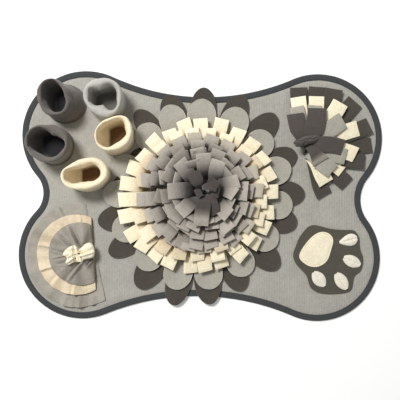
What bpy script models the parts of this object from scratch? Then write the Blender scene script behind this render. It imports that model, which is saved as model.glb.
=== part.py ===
"""A snuffle mat: a bone-shaped fleece mat with a fringed flower on two rings of petals, five open
cups, a gathered half-round pocket with a bow, a fan of fringe and a sewn paw.

X runs along the mat's length, Y across it and Z up. The origin is under the middle of the mat.
The tables give millimetres and degrees, and MM turns them into Blender's metres.
"""

import math
import random
from collections import namedtuple

import bmesh
import bpy
from mathutils import Matrix, Vector

MM = 0.001
GAP = 0.3
CLOTH = 2.0

# The base: fleece with a thinned rim, and the tape folded round it.
MAT_THICK = 4.0
MAT_RIM_LOW = 1.3
MAT_RIM_HIGH = 2.9
TAPE_WIDE = 12.0
TAPE_THICK = 1.3
TAPE_UNDER = 1.0
TAPE_TOP = 4.7
TAPE_ROUNDING = 0.5
TAPE_CURL = 1.5
MAT_TOP = MAT_THICK + GAP

TAPE_GREY = (74, 76, 75)
MAT_GREY = (167, 164, 155)
DARK = (80, 75, 67)
LIGHT = (175, 171, 157)
CREAM = (249, 237, 203)
BEIGE = (215, 200, 171)
GREY = (172, 165, 152)
TAUPE = (83, 76, 72)
CHARCOAL = (97, 88, 80)

materials = {}


def linear(channel):
    share = channel / 255
    return share / 12.92 if share <= 0.04045 else ((share + 0.055) / 1.055) ** 2.4


def cloth(colour):
    """The matt fabric of this colour, made once."""
    if colour not in materials:
        material = bpy.data.materials.new("cloth_{}_{}_{}".format(*colour))
        material.use_nodes = True
        shader = material.node_tree.nodes["Principled BSDF"]
        shader.inputs["Base Color"].default_value = (*map(linear, colour), 1)
        shader.inputs["Roughness"].default_value = 0.95
        shader.inputs["Metallic"].default_value = 0
        materials[colour] = material
    return materials[colour]


def group(name, x, y):
    """An empty that carries the pieces sewn round one place of the mat."""
    empty = bpy.data.objects.new(name, None)
    empty.location = (x * MM, y * MM, 0)
    bpy.context.collection.objects.link(empty)
    return empty


def piece(name, bm, colour, parent=None, thick=0.0):
    """The bmesh, in millimetres, as one object, thickened upwards where it is a sheet."""
    if thick:
        if sum(face.normal.z * face.calc_area() for face in bm.faces) < 0:
            bmesh.ops.reverse_faces(bm, faces=bm.faces)
    else:
        bmesh.ops.recalc_face_normals(bm, faces=bm.faces)
    bmesh.ops.scale(bm, vec=(MM, MM, MM), verts=bm.verts)
    mesh = bpy.data.meshes.new(name)
    bm.to_mesh(mesh)
    bm.free()
    mesh.shade_smooth()
    mesh.set_sharp_from_angle(angle=math.radians(45))
    mesh.materials.append(cloth(colour))
    made = bpy.data.objects.new(name, mesh)
    made.parent = parent
    bpy.context.collection.objects.link(made)
    if thick:
        wall = made.modifiers.new("Thickness", "SOLIDIFY")
        wall.thickness = thick * MM
        wall.offset = 1
    return made


def ring(bm, points):
    return [bm.verts.new(point) for point in points]


def skin(bm, rings, round_again=False):
    """Faces from each ring to the next, and from the last to the first for a tube's wall."""
    nexts = rings[1:] + rings[:1] if round_again else rings[1:]
    for one, other in zip(rings, nexts):
        for i, vert in enumerate(one):
            bm.faces.new((one[i - 1], vert, other[i], other[i - 1]))


def direction(degrees):
    return Vector((math.cos(math.radians(degrees)), math.sin(math.radians(degrees)), 0))


def between(low, high, share):
    return low + (high - low) * share


def smooth_loop(points, steps):
    """Points along the closed Catmull-Rom curve through the given ones."""
    count = len(points)
    found = []
    for i in range(count):
        before, start, end, after = (Vector(points[(i + k) % count]) for k in (-1, 0, 1, 2))
        for step in range(steps):
            t = step / steps
            turn = (end - before) * t
            bend = (2 * before - 5 * start + 4 * end - after) * t**2
            rest = (3 * start - before - 3 * end + after) * t**3
            found.append(start + (turn + bend + rest) / 2)
    return found


# The outline: four round lobes, counterclockwise, each joined to the next by a hollow waist.
Lobe = namedtuple("Lobe", "x y radius waist")
LOBES = [
    Lobe(226, 111, 123, 428),
    Lobe(-219, 117, 123, 50),
    Lobe(-227, -113, 122, 464),
    Lobe(224, -119, 121, 66),
]
LOBE_STEPS = 14
WAIST_STEPS = 6


def waist_centre(one, other):
    """The centre of the circle that touches both lobes from outside the mat."""
    start = Vector((one.x, one.y))
    span = Vector((other.x, other.y)) - start
    near = one.radius + one.waist
    far = other.radius + one.waist
    along = (near**2 - far**2 + span.length_squared) / (2 * span.length)
    out = math.sqrt(near**2 - along**2)
    unit = span.normalized()
    return start + unit * along + Vector((unit.y, -unit.x)) * out


def arc(centre, radius, start, end, steps):
    return [
        Vector(centre) + direction(between(start, end, step / steps)).xy * radius
        for step in range(steps)
    ]


def heading(start, end):
    return math.degrees(math.atan2(end[1] - start[1], end[0] - start[0]))


def outline(inset):
    """The mat's edge, moved inwards by the inset, as points of one closed loop."""
    points = []
    for i, lobe in enumerate(LOBES):
        previous, following = LOBES[i - 1], LOBES[(i + 1) % 4]
        middle = (lobe.x, lobe.y)
        last_waist = waist_centre(previous, lobe)
        next_waist = waist_centre(lobe, following)
        start = heading(middle, last_waist)
        end = start + (heading(middle, next_waist) - start) % 360
        points += arc(middle, lobe.radius - inset, start, end, LOBE_STEPS)
        start = heading(next_waist, middle)
        end = start - (start - heading(next_waist, (following.x, following.y))) % 360
        points += arc(next_waist, lobe.waist + inset, start, end, WAIST_STEPS)
    return points


def edge_rings(bm, sections):
    """One ring of the mat's outline for each (inset, height) of a section."""
    return [
        ring(bm, [(x, y, height) for x, y in outline(inset)]) for inset, height in sections
    ]


def make_mat():
    under_tape = TAPE_WIDE + GAP
    rim = TAPE_THICK + GAP
    bm = bmesh.new()
    rings = edge_rings(
        bm,
        [
            (under_tape, 0),
            (under_tape, MAT_RIM_LOW),
            (rim, MAT_RIM_LOW),
            (rim, MAT_RIM_HIGH),
            (under_tape, MAT_RIM_HIGH),
            (under_tape, MAT_THICK),
        ],
    )
    skin(bm, rings)
    bm.faces.new(rings[0])
    bm.faces.new(rings[-1])
    piece("mat_base", bm, MAT_GREY)


def make_tape():
    bm = bmesh.new()
    sections = [
        (TAPE_CURL, 0),
        (TAPE_WIDE, 0),
        (TAPE_WIDE, TAPE_UNDER),
        (TAPE_THICK, TAPE_UNDER),
        (TAPE_THICK, MAT_RIM_HIGH + GAP),
        (TAPE_WIDE, MAT_RIM_HIGH + GAP),
        (TAPE_WIDE, TAPE_TOP - TAPE_ROUNDING),
        (TAPE_WIDE / 2, TAPE_TOP),
        (TAPE_CURL, TAPE_TOP - TAPE_ROUNDING),
        (0, TAPE_TOP / 2),
    ]
    skin(bm, edge_rings(bm, sections), round_again=True)
    piece("edge_binding", bm, TAPE_GREY)


# The flower's place, and the two rings of petals under its fringe.
FLOWER_X, FLOWER_Y = 0, 1
PETAL_INNER = 112
PETAL_ROOT = 130
PETAL_REACH = 206
DISH = 2.0
PetalRow = namedtuple("PetalRow", "along wide dark_rise light_rise")
PETAL_FORM = [
    PetalRow(0.18, 0.93, 0.3, 2.3),
    PetalRow(0.42, 1.00, 1.2, 4.6),
    PetalRow(0.65, 0.93, 2.8, 5.4),
    PetalRow(0.84, 0.70, 4.6, 6.4),
    PetalRow(0.96, 0.36, 5.7, 7.2),
]
Petal = namedtuple("Petal", "angle tip wide")
DARK_PETALS = [
    Petal(1, 199, 51),
    Petal(24, 200, 50),
    Petal(47, 211, 52),
    Petal(67, 208, 50),
    Petal(88, 206, 51),
    Petal(108, 202, 50),
    Petal(127, 203, 46),
    Petal(150, 156, 44),
    Petal(172, 168, 44),
    Petal(195, 202, 50),
    Petal(213, 207, 46),
    Petal(236, 213, 54),
    Petal(256, 216, 50),
    Petal(275, 209, 52),
    Petal(294, 199, 50),
    Petal(317, 203, 52),
    Petal(343, 192, 52),
]
LIGHT_PETALS = [
    Petal(18, 181, 54),
    Petal(41, 178, 54),
    Petal(65, 184, 55),
    Petal(89, 184, 55),
    Petal(110, 183, 52),
    Petal(131, 176, 52),
    Petal(159, 178, 48),
    Petal(179, 186, 52),
    Petal(204, 182, 54),
    Petal(230, 181, 54),
    Petal(254, 186, 55),
    Petal(276, 180, 54),
    Petal(301, 177, 54),
    Petal(327, 174, 54),
    Petal(353, 177, 54),
]


def make_petals(name, petals, base, rise_of, colour, parent):
    """A flat ring whose outer edge is drawn out, petal by petal, into cupped tongues."""
    bm = bmesh.new()
    count = len(petals)
    angles = []
    for i, petal in enumerate(petals):
        before = (petal.angle - petals[i - 1].angle) % 360
        angles += [petal.angle - before / 2, petal.angle]
    inner = ring(bm, [direction(angle) * PETAL_INNER + Vector((0, 0, base)) for angle in angles])
    outer = ring(bm, [direction(angle) * PETAL_ROOT + Vector((0, 0, base)) for angle in angles])
    skin(bm, [inner, outer])
    for i, petal in enumerate(petals):
        root = [outer[2 * i], outer[2 * i + 1], outer[(2 * i + 2) % len(outer)]]
        edges = [bm.edges.get(pair) for pair in zip(root, root[1:])]
        out = direction(petal.angle)
        across = Vector((-out.y, out.x, 0))
        length = petal.tip - PETAL_ROOT
        rise_share = length / (PETAL_REACH - PETAL_ROOT)
        for row in PETAL_FORM:
            drawn = bmesh.ops.extrude_edge_only(bm, edges=edges)["geom"]
            edges = [part for part in drawn if isinstance(part, bmesh.types.BMEdge)]
            verts = [part for part in drawn if isinstance(part, bmesh.types.BMVert)]
            verts.sort(key=lambda vert: vert.co.dot(across))
            height = base + rise_of(row) * rise_share
            cup = DISH * rise_share * math.sin(math.pi * row.along)
            for side, vert in zip((-1, 0, 1), verts):
                along = PETAL_ROOT + length * row.along
                if row == PETAL_FORM[-1] and side == 0:
                    along = petal.tip
                sideways = across * (side * petal.wide / 2 * row.wide)
                vert.co = out * along + sideways + Vector((0, 0, height + cup * side**2))
    piece(name, bm, colour, parent, CLOTH)


# Fringe: a sewn band of small square section with one strip standing on each stretch of it.
BAND_WIDE = 3.0
BAND_HIGH = 2.0
STRIP_STATIONS = (0.36, 0.68, 1.0)
HUB_X, HUB_Y = 10, 10
ROOM_SHARE = 0.93
LOOK_BACK = 0.05
LEAN_IN = 1.0
FringeRow = namedtuple("FringeRow", "name root tip height lift arch reach wide colour")
Strip = namedtuple("Strip", "angle tip height wide")
FLOWER_ROWS = [
    FringeRow("flower_row_1", 108, 151, 20, 24, 7, 0.4, 27, CREAM),
    FringeRow("flower_row_2", 97, 131, 31, 32, 5, 0.4, 27, CREAM),
    FringeRow("flower_row_3", 87, 118, 39, 34, 3, 0.4, 27, BEIGE),
    FringeRow("flower_row_4", 75, 103, 46, 37, 1, 0.4, 27, GREY),
    FringeRow("flower_row_5", 62, 90, 52, 40, 1, 0.4, 27, GREY),
    FringeRow("flower_row_6", 51, 78, 57, 43, 1, 0.4, 26, GREY),
    FringeRow("flower_row_7", 39, 68, 61, 46, 1, 0.4, 26, GREY),
    FringeRow("flower_row_8", 22, 58, 65, 46, 2, 0.4, 26, GREY),
]
ROW_ANGLES = [
    (3, 16, 30, 44, 59, 74, 89, 103, 117, 131, 145, 158, 170)
    + (183, 196, 209, 221, 233, 246, 260, 274, 288, 304, 319, 333, 347),
    (12, 29, 45, 65, 82, 98, 113, 130, 146, 165)
    + (183, 198, 215, 233, 251, 268, 285, 302, 318, 335, 354),
    (6, 23, 42, 62, 79, 96, 112, 129, 146, 163, 182, 199, 216, 233, 250, 267, 284, 301, 320, 343),
    (3, 26, 50, 72, 94, 117, 138, 161, 182, 199, 216, 233, 249, 265, 282, 301, 323, 344),
    (3, 28, 48, 68, 91, 113, 134, 156, 180, 204, 226, 246, 265, 283, 301, 320, 342),
    (0, 23, 44, 64, 85, 105, 125, 145, 165, 184, 205, 226, 248, 271, 294, 316, 337),
    (6, 33, 59, 88, 117, 146, 173, 198, 224, 255, 291, 330),
    (15, 66, 95, 132, 180, 218, 262, 306, 342),
]
CROWN_ROW = FringeRow("flower_row_9", 9, 24, 71, 66, 8, 0.1, 20, TAUPE)
CROWN_STRIPS = [
    Strip(52, 30, 71, 21),
    Strip(124, 28, 71, 21),
    Strip(196, 27, 71, 20),
    Strip(268, 70, 69, 23),
    Strip(340, 34, 71, 21),
]
SWAY = 1.0
TIP_WANDER = 2.5
HEIGHT_WANDER = 0.8
TWIST = 5.0


def row_strips(row, angles, dice):
    """The row's strips, each a little off its place, as cut cloth falls."""
    return [
        Strip(
            angle + dice.uniform(-SWAY, SWAY),
            row.tip + dice.uniform(-TIP_WANDER, TIP_WANDER),
            row.height + dice.uniform(-HEIGHT_WANDER, HEIGHT_WANDER),
            row.wide,
        )
        for angle in angles
    ]


def bezier(points, share):
    rest = 1 - share
    weights = (rest**3, 3 * rest**2 * share, 3 * rest * share**2, share**3)
    return sum((point * weight for point, weight in zip(points, weights)), Vector((0, 0)))


def turn_to(start, end):
    """The turn in degrees from one heading to another, the short way round."""
    return (end - start + 180) % 360 - 180


def swung(root_angle, strip, share):
    """The strip's heading at this share of its length, between its root's and its tip's."""
    return root_angle + turn_to(root_angle, strip.angle) * share


def make_band(bm, row, roots, full):
    """A square ring, or part of one, cut between the roots. Its top faces are given back."""
    inner, outer = row.root - BAND_WIDE / 2, row.root + BAND_WIDE / 2
    low, high = MAT_TOP, MAT_TOP + BAND_HIGH
    section = [(inner, low), (outer, low), (outer, high), (inner, high)]
    halves = [turn_to(one, other) / 2 for one, other in zip(roots, roots[1:] + roots[:1])]
    cuts = [root + half for root, half in zip(roots, halves)]
    if full:
        cuts.insert(0, cuts.pop())
    else:
        cuts = [roots[0] - halves[0], *cuts[:-1], roots[-1] + halves[-2]]
    rings = [
        ring(bm, [direction(cut) * radius + Vector((0, 0, z)) for radius, z in section])
        for cut in cuts
    ]
    skin(bm, rings, full)
    bmesh.ops.holes_fill(bm, edges=[edge for edge in bm.edges if edge.is_boundary], sides=4)
    return [
        bm.faces.get((one[2], one[3], other[3], other[2]))
        for one, other in zip(rings, rings[1:] + rings[:1])
    ][: len(roots)]


def make_fringe(row, roots, strips, full, dice, parent, shift=(0, 0)):
    """The band with each of its top faces drawn out into a strip."""
    bm = bmesh.new()
    tops = make_band(bm, row, roots, full)
    for place, (strip, face) in enumerate(zip(strips, tops)):
        twist = math.radians(dice.uniform(-TWIST, TWIST))
        curve = [
            Vector((row.root, MAT_TOP + BAND_HIGH)),
            Vector((row.root - LEAN_IN, row.lift)),
            Vector((between(row.root, strip.tip, row.reach), strip.height + row.arch)),
            Vector((strip.tip, strip.height)),
        ]
        out = direction(roots[place])
        across = Vector((-out.y, out.x, 0))
        middle = face.calc_center_median()
        sides = []
        for vert in face.verts:
            left = 1 if (vert.co - middle).dot(across) > 0 else -1
            outside = 1 if vert.co.xy.length > row.root else -1
            sides.append((left, outside))
        for share in STRIP_STATIONS:
            face = bmesh.ops.extrude_discrete_faces(bm, faces=[face])["faces"][0]
            headings = [swung(root, other, share) for root, other in zip(roots, strips)]
            beside = (headings[place - 1], headings[(place + 1) % len(roots)])
            apart = min(abs(turn_to(headings[place], other)) for other in beside)
            out = direction(headings[place])
            middle = bezier(curve, share)
            ahead = (middle - bezier(curve, share - LOOK_BACK)).normalized()
            run = out * ahead.x + Vector((0, 0, ahead.y))
            across = Matrix.Rotation(twist * share, 3, run) @ Vector((-out.y, out.x, 0))
            under = across.cross(run)
            room = 2 * (middle.x - CLOTH / 2) * math.tan(math.radians(apart / 2)) * ROOM_SHARE
            wide = min(strip.wide, room)
            for vert, (left, outside) in zip(face.verts, sides):
                centre = out * middle.x + Vector((0, 0, middle.y))
                vert.co = centre + across * (left * wide / 2) + under * (outside * CLOTH / 2)
    made = piece(row.name, bm, row.colour, parent)
    made.location = (shift[0] * MM, shift[1] * MM, 0)


# The fan: half rows of fringe on the same kind of band, opening to the right.
FAN_X, FAN_Y = 194, 88
FAN_START, FAN_SWEEP = -68, 180
FAN_ROWS = [
    FringeRow("fan_row_1", 30, 120, 8, 14, 5, 0.4, 31, DARK),
    FringeRow("fan_row_2", 23, 100, 15, 22, 7, 0.4, 30, CREAM),
    FringeRow("fan_row_3", 16, 85, 21, 29, 8, 0.4, 30, LIGHT),
    FringeRow("fan_row_4", 9, 75, 28, 38, 10, 0.4, 30, TAUPE),
]
FAN_STRIPS = [
    [
        Strip(-64, 97, 8, 31),
        Strip(-37, 108, 8, 31),
        Strip(-11, 121, 8, 29),
        Strip(4, 134, 8, 29),
        Strip(20, 137, 8, 31),
        Strip(42, 134, 8, 31),
        Strip(63, 130, 8, 25),
        Strip(77, 124, 8, 28),
        Strip(93, 119, 8, 31),
    ],
    [
        Strip(-54, 80, 15, 30),
        Strip(-26, 93, 15, 30),
        Strip(-2, 107, 15, 30),
        Strip(20, 119, 15, 30),
        Strip(50, 117, 15, 31),
        Strip(73, 107, 15, 29),
        Strip(91, 101, 15, 29),
    ],
    [
        Strip(-37, 69, 21, 30),
        Strip(-10, 82, 21, 30),
        Strip(37, 96, 21, 32),
        Strip(74, 87, 21, 27),
        Strip(95, 84, 21, 27),
    ],
    [
        Strip(-36, 47, 28, 26),
        Strip(4, 77, 28, 27),
        Strip(71, 82, 28, 29),
        Strip(102, 74, 28, 29),
    ],
]

# Cups: soft tubes closed at the bottom, with a small turned-out foot and a thick rolled rim.
Cup = namedtuple("Cup", "name x y foot_a foot_b turn lean_x lean_y rim_a rim_b tall colour dents")
Dent = namedtuple("Dent", "angle depth wide")
TAUPE_DENTS = [Dent(0, 0.16, 40)]
LIGHT_DENTS = [Dent(245, 0.2, 30), Dent(288, 0.1, 26)]
ROUND_DENTS = [Dent(106, 0.13, 34)]
OVAL_DENTS = [Dent(330, 0.18, 26), Dent(188, -0.12, 20), Dent(125, 0.08, 25)]
CUPS = [
    Cup("cup_taupe", -257, 176, 36, 34, 0, -9, 5, 28, 35, 58, TAUPE, TAUPE_DENTS),
    Cup("cup_light_grey", -178, 179, 33, 32, 0, 0, 1, 36, 34, 58, LIGHT, LIGHT_DENTS),
    Cup("cup_charcoal", -279, 95, 34, 33, 0, -3, 1, 38, 34, 58, CHARCOAL, []),
    Cup("cup_cream_round", -159, 112, 31, 29, 55, -1, 1, 37, 31, 58, CREAM, ROUND_DENTS),
    Cup("cup_cream_oval", -213, 39, 38, 27, 9, -1, 1, 43, 31, 56, CREAM, OVAL_DENTS),
]
CupLevel = namedtuple("CupLevel", "share grow")
CUP_WALL = [
    CupLevel(0.000, 3.5),
    CupLevel(0.030, 3.5),
    CupLevel(0.060, 0.5),
    CupLevel(0.400, 1.5),
    CupLevel(0.800, 0.0),
    CupLevel(0.930, 1.5),
    CupLevel(1.000, -2.0),
    CupLevel(0.930, -6.5),
    CupLevel(0.800, -5.0),
    CupLevel(0.400, -3.0),
    CupLevel(0.035, -3.5),
]
CUP_SIDES = 18


def cup_ring(cup, level):
    """One level of the wall: from the foot's oval to the rim's, leaning and dented on the way."""
    points = []
    for i in range(CUP_SIDES):
        angle = 360 / CUP_SIDES * i
        half_a = between(cup.foot_a, cup.rim_a, level.share) + level.grow
        half_b = between(cup.foot_b, cup.rim_b, level.share) + level.grow
        local = math.radians(angle - cup.turn)
        radius = half_a * half_b / math.hypot(half_b * math.cos(local), half_a * math.sin(local))
        for dent in cup.dents:
            off = ((angle - dent.angle + 180) % 360 - 180) / dent.wide
            radius *= 1 - dent.depth * level.share**2 * math.exp(-(off**2))
        lean = Vector((cup.lean_x, cup.lean_y, cup.tall)) * level.share
        points.append(direction(angle) * radius + lean + Vector((0, 0, MAT_TOP)))
    return points


def make_cup(cup):
    bm = bmesh.new()
    rings = [ring(bm, cup_ring(cup, level)) for level in CUP_WALL]
    skin(bm, rings)
    bm.faces.new(rings[0])
    bm.faces.new(rings[-1])
    made = piece(cup.name, bm, cup.colour)
    made.location = (cup.x * MM, cup.y * MM, 0)


# The pocket: round layers cut off along a slanting edge and gathered to the bow.
BOW_X, BOW_Y = -229, -109
Layer = namedtuple("Layer", "name x y radius cut_high cut_low base rim_wave fold puff colour")
LAYERS = [
    Layer("skirt_lower", -233, -114, 99, 8, 48, 0.0, 3.5, 0.0, 0.0, LIGHT),
    Layer("skirt_cream", -236, -112, 76, 20, 30, 2.5, 3.0, 0.0, 0.0, CREAM),
    Layer("skirt_top", -229, -110, 60, 20, 29, 5.0, 2.5, 4.0, 7.0, GREY),
]
Fold = namedtuple("Fold", "angle wide")
FOLDS = [Fold(58, 12), Fold(96, 9), Fold(119, 9), Fold(146, 10), Fold(180, 12)]
FOLDS += [Fold(210, 11), Fold(240, 11), Fold(286, 14), Fold(330, 12)]
FOLD_SPREAD = 1.5
WAVES, WAVE_START, SLOW_WAVES = 5, 40, 2
LAYER_SIDES = 48
FLAT_SHARES = (1.0, 0.8, 0.3)
FOLDED_SHARES = (1.0, 0.84, 0.6, 0.36, 0.14)
CUT_TOP, CUT_BOTTOM = 102, -94
FACING_LEAST = 0.01


def layer_edge(layer, angle):
    """How far the layer reaches from the bow: to its round, or to the slanting cut."""
    way = direction(angle).xy
    to_centre = Vector((layer.x - BOW_X, layer.y - BOW_Y))
    along = way.dot(to_centre)
    reach = along + math.sqrt(layer.radius**2 - to_centre.length_squared + along**2)
    start = Vector((layer.cut_high, CUT_TOP * layer.radius / LAYERS[0].radius))
    end = Vector((layer.cut_low, CUT_BOTTOM * layer.radius / LAYERS[0].radius))
    normal = Vector((start.y - end.y, end.x - start.x)).normalized()
    facing = way.dot(normal)
    if facing > FACING_LEAST:
        reach = min(reach, start.dot(normal) / facing)
    return reach


def layer_height(layer, angle, share):
    """The underside's height: a waved rim, a puffed middle and ridges between the folds."""
    quick = math.sin(math.radians(WAVES * angle + WAVE_START))
    slow = math.cos(math.radians(SLOW_WAVES * angle))
    out = layer_edge(layer, angle) * share / layer.radius
    waved = layer.rim_wave * (1 + quick * slow) / 2 * out**4
    offs = [((angle - fold.angle + 180) % 360 - 180) / fold.wide for fold in FOLDS]
    ridge = 1 - max(math.exp(-(off**2)) for off in offs)
    folded = layer.fold * ridge * math.sin(math.pi * share**FOLD_SPREAD)
    return MAT_TOP + layer.base + waved + folded + layer.puff * (1 - share**2)


def make_layer(layer, parent):
    bm = bmesh.new()
    rings = []
    for share in FOLDED_SHARES if layer.fold else FLAT_SHARES:
        points = []
        for i in range(LAYER_SIDES):
            angle = 360 / LAYER_SIDES * i
            flat = direction(angle) * layer_edge(layer, angle) * share
            points.append(flat + Vector((0, 0, layer_height(layer, angle, share))))
        rings.append(ring(bm, points))
    skin(bm, rings)
    bm.faces.new(rings[-1])
    piece(layer.name, bm, layer.colour, parent, CLOTH)


# The bow: a strip pinched at its middle, seen from above as two lobed wings.
BOW_OUTLINE = [(24, 20), (30, 8), (28, -6), (11, -11), (7, -16), (-8, -16), (-19, -21)]
BOW_OUTLINE += [(-25, -17), (-22, -8), (-30, -1), (-22, 10), (-11, 16), (-5, 14), (2, 10), (13, 19)]
BowLevel = namedtuple("BowLevel", "share height")
BOW_LEVELS = [BowLevel(0.70, 0), BowLevel(1.0, 4), BowLevel(0.88, 9), BowLevel(0.6, 11.5)]
BOW_PINCH, BOW_KNOT = 0.45, 18
BOW_SEAT_ANGLE, BOW_SEAT_SHARE = 162, 0.42
BOW_Z = layer_height(LAYERS[-1], BOW_SEAT_ANGLE, BOW_SEAT_SHARE) + CLOTH + GAP


def make_bow(parent):
    bm = bmesh.new()
    rings = []
    for level in BOW_LEVELS:
        points = []
        for x, y in smooth_loop(BOW_OUTLINE, 2):
            swell = between(BOW_PINCH, 1, min(1, abs(x) / BOW_KNOT))
            points.append((x * level.share, y * level.share, BOW_Z + level.height * swell))
        rings.append(ring(bm, points))
    skin(bm, rings)
    bm.faces.new(rings[0])
    centre = bmesh.ops.poke(bm, faces=[bm.faces.new(rings[-1])])["verts"]
    centre[0].co.z = BOW_Z + BOW_LEVELS[-1].height * BOW_PINCH
    piece("bow", bm, CREAM, parent)


# The paw: a dark patch, a round pad and four leaf-shaped toes creased along their length.
PATCH = [(214, -56), (250, -63), (273, -65), (294, -66), (304, -79), (306, -100), (312, -121)]
PATCH += [(308, -142), (295, -155), (289, -180), (268, -187), (233, -187), (212, -176)]
PATCH += [(203, -152), (184, -131), (178, -113), (184, -94), (193, -75)]
PAD = [(190, -119), (195, -101), (214, -78), (231, -69), (246, -72), (254, -84), (250, -103)]
PAD += [(242, -124), (225, -135), (206, -133)]
PATCH_Z = MAT_TOP
PAD_Z = PATCH_Z + CLOTH + GAP
PAD_CROWN = 1.2
PAD_SEAM = 5.0
Toe = namedtuple("Toe", "name x y length wide turn blunt fullest")
TOES = [
    Toe("paw_toe_1", 283, -85, 33, 20, 14, 0.5, 1.7),
    Toe("paw_toe_2", 290, -125, 33, 19, -24, 0.55, 1.0),
    Toe("paw_toe_3", 227, -159, 32, 21, -52, 0.6, 1.0),
    Toe("paw_toe_4", 270, -163, 34, 20, -56, 0.55, 1.0),
]
TOE_STATIONS = (0.05, 0.25, 0.5, 0.75, 0.95)
TOE_ACROSS = (-1, -0.5, 0, 0.5, 1)
TOE_LIFT = (0, 2.2, 0.9, 2.0, 0)
TOE_FLAT_END = 0.5
TOE_ROUND_END = 0.1


def make_patch(name, points, height, colour, crown=0.0):
    bm = bmesh.new()
    floor = bm.faces.new(ring(bm, [(x, y, height) for x, y in smooth_loop(points, 3)]))
    drawn = bmesh.ops.extrude_face_region(bm, geom=[floor], use_keep_orig=True)["geom"]
    top = [part for part in drawn if isinstance(part, bmesh.types.BMFace)]
    rising = [part for part in drawn if isinstance(part, bmesh.types.BMVert)]
    bmesh.ops.translate(bm, vec=(0, 0, CLOTH), verts=rising)
    if crown:
        bmesh.ops.inset_region(bm, faces=top, thickness=PAD_SEAM, use_even_offset=False)
        bmesh.ops.translate(bm, vec=(0, 0, crown), verts=top[0].verts)
    piece(name, bm, colour)


def make_toe(toe):
    """A row of edges across the toe, drawn along its length and swelling to its fullest part."""
    bm = bmesh.new()
    verts = [bm.verts.new((side, 0, 0)) for side in TOE_ACROSS]
    edges = [bm.edges.new(pair) for pair in zip(verts, verts[1:])]
    for station in TOE_STATIONS:
        if station > TOE_STATIONS[0]:
            drawn = bmesh.ops.extrude_edge_only(bm, edges=edges)["geom"]
            edges = [part for part in drawn if isinstance(part, bmesh.types.BMEdge)]
            verts = [part for part in drawn if isinstance(part, bmesh.types.BMVert)]
            verts.sort(key=lambda vert: vert.co.x)
        half = toe.wide / 2 * math.sin(math.pi * station**toe.fullest) ** toe.blunt
        swell = 1 - abs(station - 0.5) * 2 * TOE_FLAT_END
        for vert, side, lift in zip(verts, TOE_ACROSS, TOE_LIFT):
            rounding = (1 - side**2) * TOE_ROUND_END * (station - 0.5)
            along = toe.length * (station - 0.5 + rounding)
            vert.co = (side * half, along, PAD_Z + lift * swell)
    laid = Matrix.Rotation(math.radians(toe.turn - 90), 3, "Z")
    bmesh.ops.rotate(bm, matrix=laid, verts=bm.verts)
    made = piece(toe.name, bm, CREAM, None, CLOTH)
    made.location = (toe.x * MM, toe.y * MM, 0)


for thing in list(bpy.data.objects):
    bpy.data.objects.remove(thing)

make_mat()
make_tape()

flower = group("flower", FLOWER_X, FLOWER_Y)
LIGHT_BASE = MAT_TOP + CLOTH + GAP
make_petals("petals_dark", DARK_PETALS, MAT_TOP, lambda row: row.dark_rise, DARK, flower)
make_petals("petals_light", LIGHT_PETALS, LIGHT_BASE, lambda row: row.light_rise, LIGHT, flower)
for number, (row, angles) in enumerate(zip(FLOWER_ROWS, ROW_ANGLES)):
    dice = random.Random(number + 11)
    drift = (number / len(FLOWER_ROWS)) ** 3
    shift = (HUB_X * drift, HUB_Y * drift)
    make_fringe(row, angles, row_strips(row, angles, dice), True, dice, flower, shift)
roots = tuple(strip.angle for strip in CROWN_STRIPS)
make_fringe(CROWN_ROW, roots, CROWN_STRIPS, True, random.Random(5), flower, (HUB_X, HUB_Y))

fan = group("fan", FAN_X, FAN_Y)
for number, (row, strips) in enumerate(zip(FAN_ROWS, FAN_STRIPS)):
    step = FAN_SWEEP / len(strips)
    roots = tuple(FAN_START + step * (place + 0.5) for place in range(len(strips)))
    make_fringe(row, roots, strips, False, random.Random(number + 31), fan)

for cup in CUPS:
    make_cup(cup)

pocket = group("pocket", BOW_X, BOW_Y)
for layer in LAYERS:
    make_layer(layer, pocket)
make_bow(pocket)

make_patch("paw_patch", PATCH, PATCH_Z, DARK)
make_patch("paw_pad", PAD, PAD_Z, CREAM, PAD_CROWN)
for toe in TOES:
    make_toe(toe)
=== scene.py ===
import math
import random
from collections import namedtuple

import bmesh
import bpy
from mathutils import Matrix, Vector, noise


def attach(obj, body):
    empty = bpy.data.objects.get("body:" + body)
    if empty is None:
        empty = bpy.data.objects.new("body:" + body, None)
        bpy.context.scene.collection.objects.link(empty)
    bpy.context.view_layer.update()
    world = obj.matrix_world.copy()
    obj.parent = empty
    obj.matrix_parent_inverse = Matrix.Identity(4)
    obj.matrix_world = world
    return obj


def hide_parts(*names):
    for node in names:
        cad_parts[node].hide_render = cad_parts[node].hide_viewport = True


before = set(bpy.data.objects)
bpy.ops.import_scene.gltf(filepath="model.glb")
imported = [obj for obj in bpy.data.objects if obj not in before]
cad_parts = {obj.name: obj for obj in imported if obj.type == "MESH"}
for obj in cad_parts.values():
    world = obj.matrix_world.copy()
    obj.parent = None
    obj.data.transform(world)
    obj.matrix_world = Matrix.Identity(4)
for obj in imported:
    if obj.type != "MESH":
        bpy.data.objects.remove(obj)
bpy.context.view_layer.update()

# The view: straight down on the mat, which lies on a plain white table in a white room with one
# large soft light at the upper left. Sizes are in millimetres and degrees, and MM gives metres.
MM = 0.001
CAMERA_X, CAMERA_Y, CAMERA_HIGH = -0.5, -7.7, 1100
FRAME_WIDE = 770.3
TABLE_WIDE = 6000
TABLE_DROP = 0.4
TABLE_WHITE = (255, 255, 253)


def linear(colour):
    """A colour as the eye's 0 to 255 reads it, as Blender's light values."""
    shares = [channel / 255 for channel in colour]
    return tuple(
        share / 12.92 if share <= 0.04045 else ((share + 0.055) / 1.055) ** 2.4
        for share in shares
    )


def into_scene(made, x=0, y=0, z=0):
    bpy.context.scene.collection.objects.link(made)
    made.location = Vector((x, y, z)) * MM
    return made


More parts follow.
